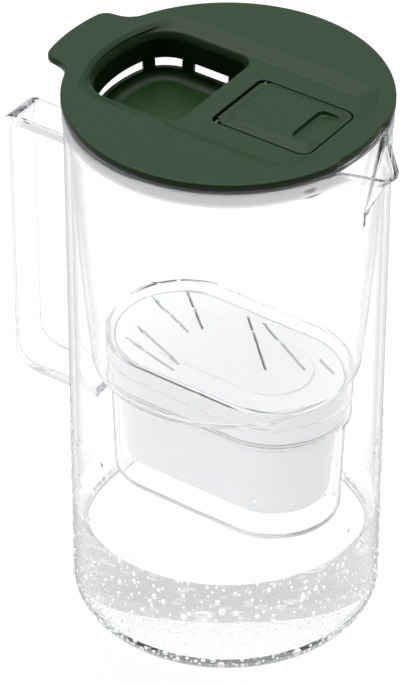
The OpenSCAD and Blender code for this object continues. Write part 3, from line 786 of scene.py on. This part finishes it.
def lid_outline(inset=0.0):
    """The round edge, the tab's blends and corners, and the pouring notch in front."""
    corner_y = tab_half - corner_r
    corner = (-math.sqrt((tab_r - corner_r) ** 2 - corner_y ** 2), corner_y)
    span, far, near = math.hypot(*corner), lid_r + blend_r, corner_r + blend_r
    along = (span ** 2 + far ** 2 - near ** 2) / (2 * span)
    up = math.sqrt(far ** 2 - along ** 2)
    ux, uy = corner[0] / span, corner[1] / span
    blend = (along * ux + up * uy, along * uy - up * ux)
    blend_a = angle_of(*blend)
    turn_a = angle_of(blend[0] - corner[0], blend[1] - corner[1])
    front = []
    for a in np.linspace(0, notch + ramp, 60):
        t = min(1, max(0, (a - notch) / ramp))
        r = lid_r - inset - notch_depth * (0.5 + 0.5 * math.cos(math.pi * t))
        front.append((r * math.cos(math.radians(a)), r * math.sin(math.radians(a))))
    half = [np.array(front),
            arc_points(0, 0, lid_r - inset, notch + ramp + 0.5, blend_a - 0.2, 150),
            arc_points(*blend, blend_r + inset, blend_a - 180, turn_a - 180),
            arc_points(*corner, corner_r - inset, turn_a, angle_of(*corner)),
            arc_points(0, 0, tab_r - inset, angle_of(*corner), 180)]
    return both_halves(half)


# %% Disc with straight sides, round corners and, if asked, one end cut off
def disc_outline(r, shift, half_w, corner_r, cut_x=None, cut_r=6.0):
    reach = math.sqrt((r - corner_r) ** 2 - (half_w - corner_r) ** 2)
    corner_a = angle_of(reach, half_w - corner_r)
    if cut_x is None:
        front = [arc_points(shift, 0, r, 0, corner_a),
                 arc_points(shift + reach, half_w - corner_r, corner_r, corner_a, 90)]
    else:
        cut_y = np.linspace(0, half_w - cut_r - 0.1, 30)
        front = [np.column_stack((np.full(30, cut_x), cut_y)),
                 arc_points(cut_x - cut_r, half_w - cut_r, cut_r, 0, 90)]
    first, last = front[-1][-1], (shift - reach, half_w)
    side_x = np.linspace(first[0], last[0], 60)[1:-1]
    side = np.column_stack((side_x, np.full(58, half_w)))
    back = [arc_points(shift - reach, half_w - corner_r, corner_r, 90, 180 - corner_a),
            arc_points(shift, 0, r, 180 - corner_a, 180)]
    return both_halves(front + [side] + back)


def trench_outline(share, grow=0.0):
    """The trench's outline between its top (share 0) and its floor (share 1)."""
    top = disc_outline(66.5 + grow, 0, 39 + grow, 12 + grow)
    low = disc_outline(61.2 + grow, -2.2, 33.3 + grow, 12 + grow)
    top_ring, low_ring = (np.array(reach_ring(outline, 0)) / MM for outline in (top, low))
    return (top_ring * (1 - share) + low_ring * share)[:, :2]


def fill_outline(grow=0.0):
    """The fill opening at the height where the basin starts, grown on all sides."""
    return disc_outline(61.0 + grow, -2.2, 30.3 + grow, 18 + grow, grow - 8.5, 6 + grow)


def panel_outline(x0, x1, half_w, near_r, far_r):
    """Rectangle from x0 to x1 with its own corner radius at each end."""
    far_y = np.linspace(0, half_w - far_r - 0.05, 40)
    near_y = np.linspace(half_w - near_r - 0.05, 0, 40)
    side_x = np.linspace(x1 - far_r, x0 + near_r, 60)[1:-1]
    half = [np.column_stack((np.full(40, x1), far_y)),
            arc_points(x1 - far_r, half_w - far_r, far_r, 0, 90),
            np.column_stack((side_x, np.full(58, half_w))),
            arc_points(x0 + near_r, half_w - near_r, near_r, 90, 180),
            np.column_stack((np.full(40, x0), near_y))]
    return both_halves(half)

# %% [markdown]
# ## The lid
#
# The lid is one skin pulled through rings: from the middle of its underside out
# along the tub, round the skirt, over the outer edge, across the top and down
# into the trench. The fill opening and the hatch opening are then cut through
# the trench's floor with shapes drawn the same way.

# %% Rings of the lid
fill_centre, hatch_centre, scoop_centre = -36.0, 30.0, 48.0
edge_round, edge_z = 1.2, 279.8


def trench_rings(rows):
    """Rings of the trench's outline, from its share, its growth and the height."""
    return [reach_ring(trench_outline(share, grow), z) for share, grow, z in rows]


def round_ring(r, z):
    """A circle: a disc whose straight sides have almost no length."""
    return reach_ring(disc_outline(r, 0, r - 0.001, r - 0.002), z)


tub = [(1, -8, 275.0), (1, 1.4, 275.0), (1, 2, 275.6), (0.5, 2, 277.0), (0.2, 1.6, 278.6)]
skirt = [(66.7, 278.6), (66.7, 270.4), (67.0, 270.0), (67.6, 270.0), (67.9, 270.4), (67.9, 278.6)]
seat = [(70.8, 278.6), (71.0, 278.4), (71.0, 277.7), (71.2, 277.5)]
edge = [(0.6, 277.5), (0.15, 277.62), (0.0, 277.95), (0.0, 279.7)]
for a in map(math.radians, (20, 40, 60, 80, 90)):
    edge.append((edge_round * (1 - math.cos(a)), edge_z + edge_round * math.sin(a)))
trench = [(0, 0.9, 281.0), (0, 0.45, 280.93), (0, 0.1, 280.72), (0.12, 0, 280.4), (0.5, 0, 279.45)]
trench += [(0.86, 0, 278.5), (0.95, -0.15, 278.22), (1, -0.45, 278.05), (1, -1.0, 278.0)]
trench += [(1, -4, 278.0)]

# %% Draw the lid
lid_rings = trench_rings(tub) + [round_ring(r, z) for r, z in skirt + seat]
lid_rings += [reach_ring(lid_outline(inset), z) for inset, z in edge] + trench_rings(trench)
lid = draw_from_rings("green_lid", lid_rings)

# %% Cut the fill opening and the hatch opening
fill_lip = [(3.4, 279.0), (2.5, 278.1), (1.9, 277.9), (1.4, 277.4), (0.8, 276.3), (0.25, 275.3)]
fill_lip += [(0.0, 274.8), (0.0, 273.0)]
fill_rings = [reach_ring(fill_outline(grow), z, fill_centre) for grow, z in fill_lip]
cut_or_join(lid, draw_from_rings("fill_cutter", fill_rings), "DIFFERENCE")
gap_outline = panel_outline(4.1, 55.6, 20.6, 3.5, 5.6)
soft_gap = panel_outline(3.8, 55.9, 20.9, 3.8, 5.9)
gap_rings = [reach_ring(soft_gap, z, hatch_centre) for z in (279.0, 278.02)]
gap_rings += [reach_ring(gap_outline, z, hatch_centre) for z in (277.7, 272.0)]
cut_or_join(lid, draw_from_rings("gap_cutter", gap_rings), "DIFFERENCE")
finish_piece(lid, lid_green, "lid", "lid_green", "lid_shell", smooth=40)

# %% [markdown]
# ## The splash basin
#
# The basin starts on the fill opening's own outline and draws in to a floor with
# a wide bend. Five windows are cut through its wall, and the bars between them
# point at the opening's corner curves.

# %% Draw the basin
basin_low, basin_floor, basin_bend, basin_draft = 253.2, 255.0, 5.0, 1.7
basin_top, basin_lip = 274.7, 274.95
outer_start, inner_start = basin_low + basin_bend, basin_floor + basin_bend


def basin_wall(start, grow, shares):
    """Rows of growth and height up a drafted wall."""
    return [(grow + basin_draft * t, start + (basin_top - start) * t) for t in shares]


bend = []
for a in map(math.radians, (90, 75, 60, 45, 30, 15, 0)):
    bend.append((basin_bend * (1 - math.cos(a)), basin_bend * (1 - math.sin(a))))
basin_rows = [(-20, basin_low)] + [(0.1 - draw_in, basin_low + rise) for draw_in, rise in bend]
basin_rows += basin_wall(outer_start, 0.1, (0.25, 0.5, 0.75, 1))
basin_rows += [(1.6, basin_lip), (0.2, basin_lip)]
basin_rows += basin_wall(inner_start, -basin_draft, (1, 0.75, 0.5, 0.25))
basin_rows += [(-basin_draft - draw_in, basin_floor + rise) for draw_in, rise in reversed(bend)]
basin_rows += [(-20, basin_floor)]
basin_rings = [reach_ring(fill_outline(grow), z, fill_centre) for grow, z in basin_rows]
basin = draw_from_rings("splash_basin_smooth", basin_rings)

# %% Cut its windows
def cut_prism(piece, name, outline, low, high):
    """Cuts an upright block over a short outline: a window or a slot."""
    rings = [[(x * MM, y * MM, z * MM) for x, y in outline] for z in (low, high)]
    cut_or_join(piece, draw_from_rings(name, rings), "DIFFERENCE")


window_low, window_high = 260.3, 265.3
side_window = [(-39.5, 15), (-20, 15), (-20, 60), (-39.5, 60)]
corner_window = [(-45.5, 14.95), (-101, 55.3), (-101, 60), (-45.5, 60)]
end_window = [(-35.1, 0), (-108, -52.9), (-108, 52.9)]
for side in (-1, 1):
    for name, window in (("side_window", side_window), ("corner_window", corner_window)):
        outline = [(x, y * side) for x, y in window]
        cut_prism(basin, name, outline, window_low, window_high)
cut_prism(basin, "end_window", end_window, window_low, window_high)
finish_piece(basin, lid_green, "lid", "lid_green", "splash_basin", smooth=40)

# %% [markdown]
# ## The flip hatch
#
# The flap has a raised middle with sloping sides. A finger scoop is pressed into
# it at the free end: flat and deep towards the hinge, then rising to the edge.
# The corners beside the hinge are round, so they clear the opening as it turns.

# %% Draw the hatch
hinge_x, hinge_z, barrel_r, barrel_half = 6.6, 276.3, 1.7, 17
hatch_end, hatch_half, hatch_corner = 55, 20, 5.0


def hatch_outline(inset, back=0.0):
    """The flap's outline, drawn in by the inset and moved back from the hinge."""
    end_corner = hatch_corner - min(inset, 1.5)
    return panel_outline(hinge_x + back, hatch_end - inset, hatch_half - inset,
                         hatch_corner, end_corner)


hatch_rows = [(6, 4, 275.3), (0.3, 0, 275.3), (0, 0, 275.6), (0, 0, 277.7), (0.3, 0.3, 278.0)]
hatch_rows += [(0.9, 1.6, 278.02)]
raised = [(1.3, 278.1), (2.0, 278.45), (3.0, 278.95), (3.9, 279.35), (4.5, 279.48)]
raised += [(5.4, 279.5), (9, 279.5)]
hatch_rows += [(inset, inset + 1.0, z) for inset, z in raised]
hatch_rings = [reach_ring(hatch_outline(inset, back), z, hatch_centre)
               for inset, back, z in hatch_rows]
hatch = draw_from_rings("flip_hatch_smooth", hatch_rings)


# %% Press the scoop in and add the hinge barrel
def scoop_floor(x):
    return 277.5 + 1.45 * min(1, max(0, (x - 44.5) / 8.5)) ** 1.3


scoop_rings = []
scoop_wall = [(4, 0.0), (1.2, 0.0), (0.5, 0.15), (0.1, 0.6), (0.0, 1.2), (-0.25, 2.2), (-0.25, 5)]
for inset, rise in scoop_wall:
    outline = panel_outline(41.5 + inset, 54.2 - inset, 12.5 - inset, 3.5, 4.5)
    ring = reach_ring(outline, 0, scoop_centre, 240)
    scoop_rings.append([(x, y, (scoop_floor(x / MM) + rise) * MM) for x, y, _ in ring])
cut_or_join(hatch, draw_from_rings("scoop_cutter", scoop_rings), "DIFFERENCE")
barrel_rings = []
barrel_angles = np.linspace(0, 2 * math.pi, 49)[:-1]
for y in (-barrel_half, barrel_half):
    barrel_rings.append([((hinge_x + barrel_r * math.cos(a)) * MM, y * MM,
                          (hinge_z + barrel_r * math.sin(a)) * MM) for a in barrel_angles])
cut_or_join(hatch, draw_from_rings("hinge_barrel", barrel_rings), "UNION")
finish_piece(hatch, hatch_green, "hatch", "hatch_green", "flip_hatch", smooth=40)

# %% [markdown]
# ## The cartridge cup
#
# The cup is an oval with a collar. Its collar rolls over at the top and steps in
# softly to the body, and the body's bottom edge is round.

# %% Draw the cup
cup_rows = [(72.0, 40.0, 13.2), (72.0, 50.6, 23.8), (72.25, 51.9, 25.1), (73.0, 52.9, 26.1)]
cup_rows += [(74.4, 53.45, 26.65), (90, 54.8, 28.0), (105, 56.1, 29.3), (116.8, 57.1, 30.3)]
cup_rows += [(118.0, 57.3, 30.5), (118.7, 57.8, 31.0), (119.0, 58.6, 31.8), (119.2, 59.6, 32.8)]
cup_rows += [(119.7, 60.2, 33.4), (120.6, 60.3, 33.5), (135.6, 60.3, 33.5), (136.5, 60.0, 33.2)]
cup_rows += [(137.0, 59.4, 32.6), (137.0, 58.9, 32.1), (136.7, 58.7, 31.9), (120.6, 58.7, 31.9)]
cup_rows += [(120.6, 55.7, 28.9), (105, 54.4, 27.6), (90, 53.1, 26.3), (74.2, 51.9, 25.1)]
cup_rows += [(73.6, 51.2, 24.4), (73.6, 40.0, 13.2)]
cup = draw_from_rings("cartridge_cup_smooth", oval_rows(cup_rows, 256))

# %% Cut the slots in its floor
slot_pitch, slot_half_w, slot_end = 7, 1.2, 15.2
for i in range(-5, 6):
    left, right = slot_pitch * i - slot_half_w, slot_pitch * i + slot_half_w
    outline = [(left, -slot_end), (right, -slot_end), (right, slot_end), (left, slot_end)]
    cut_prism(cup, "floor_slot", outline, 71, 74.5)
finish_piece(cup, cup_shaded_white, "cartridge", "cartridge_white", "cartridge_cup", smooth=40)

# %% [markdown]
# ## The water
#
# The filtered water fills the foot of the jug. Its side sinks a little into the
# wall, because light must pass from plastic into water with no air between, and
# its surface climbs the wall in a small curve.

# %% Fill the jug
sunk, water_z = 0.25, 52.5
water_r, water_low = jug_in_r + sunk, jug_floor - sunk
water_rows = round_rows([(water_low, 60.0), (water_low, 66.8)])
water_bend = arc_rows(jug_in_r - inner_bend, jug_floor + inner_bend, inner_bend + sunk, -80, 0, 5)
water_rows += round_rows([(z, r) for r, z in water_bend])
climb = [(0, water_r), (1.4, water_r), (1.3, 71.1), (0.7, 70.6), (0.3, 69.9), (0.1, 68.8)]
climb += [(0, 67.0), (0, 40.0)]
water_rows += round_rows([(water_z + rise, r) for rise, r in climb])
water = draw_from_rings("filtered_water", oval_rows(water_rows))
finish_piece(water, water_clear, "jug", "clear_jug", smooth=60)

# %% [markdown]
# ## Droplets
#
# Cold water makes the lower wall sweat. A droplet is a ball cut flat where it
# sits, wide and low. One is modelled and set on the wall many times, small ones
# far more often than large ones, and crowded towards the foot. Above the water
# few sit on the side that faces the photographer, and none where the handle's
# foot meets the wall. They are too many to place by hand, so a loop does it.

# %% Model one droplet
deselect()
bpy.ops.mesh.primitive_ico_sphere_add(subdivisions=2, radius=1)
drop = bpy.context.object
bpy.ops.object.mode_set(mode="EDIT")
bpy.ops.mesh.select_all(action="SELECT")
bpy.ops.mesh.bisect(plane_co=(0, 0, -0.15), plane_no=(0, 0, 1), clear_inner=True, use_fill=True)
bpy.ops.object.mode_set(mode="OBJECT")
drop_points = np.array([v.co for v in drop.data.vertices])
drop_faces = [tuple(f.vertices) for f in drop.data.polygons]
bpy.data.objects.remove(drop)
print("one droplet has", len(drop_faces), "faces")

# %% Set droplets on the wall
droplet_count, largest, middle_size, flattest = 1850, 2.3, 0.7, 0.85
low_z, spread_z, handle_foot_z, bare_z = 5, 100, 78, 56
front_angle, front_half, upward = -0.96, 1.15, Vector((0, 0, 1))

random.seed(11)
points, faces, taken = [], [], []
while len(taken) < droplet_count:
    angle = random.uniform(-math.pi, math.pi)
    height = low_z + spread_z * random.random() ** 1.8
    size = min(largest, middle_size * math.exp(random.gauss(0, 0.5)))
    spot = Vector((jug_r * angle, height))
    if abs(abs(angle) - math.pi) < 0.2 and height > handle_foot_z:
        continue
    in_front = abs(angle - front_angle) < front_half
    if height > bare_z and in_front and random.random() < 0.93:
        continue
    if any((spot - other).length < (size + r) * 1.05 for other, r in taken):
        continue
    taken.append((spot, size))
    sideways = Vector((-math.sin(angle), math.cos(angle), 0))
    outward = Vector((math.cos(angle), math.sin(angle), 0))
    centre = outward * (jug_r - 0.02) + upward * height
    stretch = random.uniform(0.95, 1.2)
    base = len(points)
    for x, y, z in drop_points:
        along = sideways * (x * size) + upward * (y * size * stretch)
        points.append((centre + along + outward * (z * min(0.7 * size, flattest))) * MM)
    faces += [tuple(base + i for i in f) for f in drop_faces]

drop_mesh = bpy.data.meshes.new("wall_droplets")
drop_mesh.from_pydata(points, [], faces)
droplets = bpy.data.objects.new("wall_droplets", drop_mesh)
bpy.context.collection.objects.link(droplets)
finish_piece(droplets, drop_clear, "jug", "clear_jug", smooth=60)

# %% [markdown]
# ## Finishes for the parts that keep their CAD shape
#
# Parts that are flat, small or hidden keep the faces that the CAD gave them, and
# only get a better material. Drawing them again would change little in view.

# %% Give the remaining nodes their materials
finishes = {
    "dial_tray": lid_green, "dial_hub": lid_green, "reminder_dial": dial_white,
    "cartridge_cover": cartridge_white, "cartridge_seal": seal_grey,
    "upper_mesh": mesh_white, "lower_mesh": mesh_white,
    "filter_media": filter_grains, "hatch_pin": pin_steel,
}
for node, material in finishes.items():
    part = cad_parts[node]
    part.data.materials.clear()
    part.data.materials.append(material)
print(len(finishes), "CAD nodes dressed")

# %% [markdown]
# ## The numbers on the reminder dial
#
# Under the hatch the dial carries the months one to twelve. Each number is text
# turned into a thin raised mesh, standing on the dial's top with its foot
# towards the middle.

# %% Set the months on the dial
dial_x, dial_top, number_r, number_size = 29.6, 266.27, 10.9, 3.2
number_ink = satin_plastic("number_grey", (0.05, 0.06, 0.055), 0.5, 0.05, 0.05 * MM)
months = []
for month in range(1, 13):
    deselect()
    turn = math.radians(90 - 30 * month)
    x, y = dial_x + number_r * math.cos(turn), number_r * math.sin(turn)
    bpy.ops.object.text_add(rotation=(0, 0, turn - math.pi / 2),
                            location=(x * MM, y * MM, dial_top * MM))
    words = bpy.context.object
    words.data.body = str(month)
    words.data.size = number_size * MM
    words.data.extrude = 0.03 * MM
    words.data.align_x = words.data.align_y = "CENTER"
    words.data.resolution_u = 4
    bpy.ops.object.convert(target="MESH")
    bpy.ops.object.transform_apply(location=True, rotation=True, scale=True)
    months.append(bpy.context.object)
deselect()
for words in months:
    words.select_set(True)
bpy.context.view_layer.objects.active = months[0]
bpy.ops.object.join()
months[0].name = "dial_numbers"
finish_piece(months[0], number_ink, "dial", "dial_plastic", smooth=30)
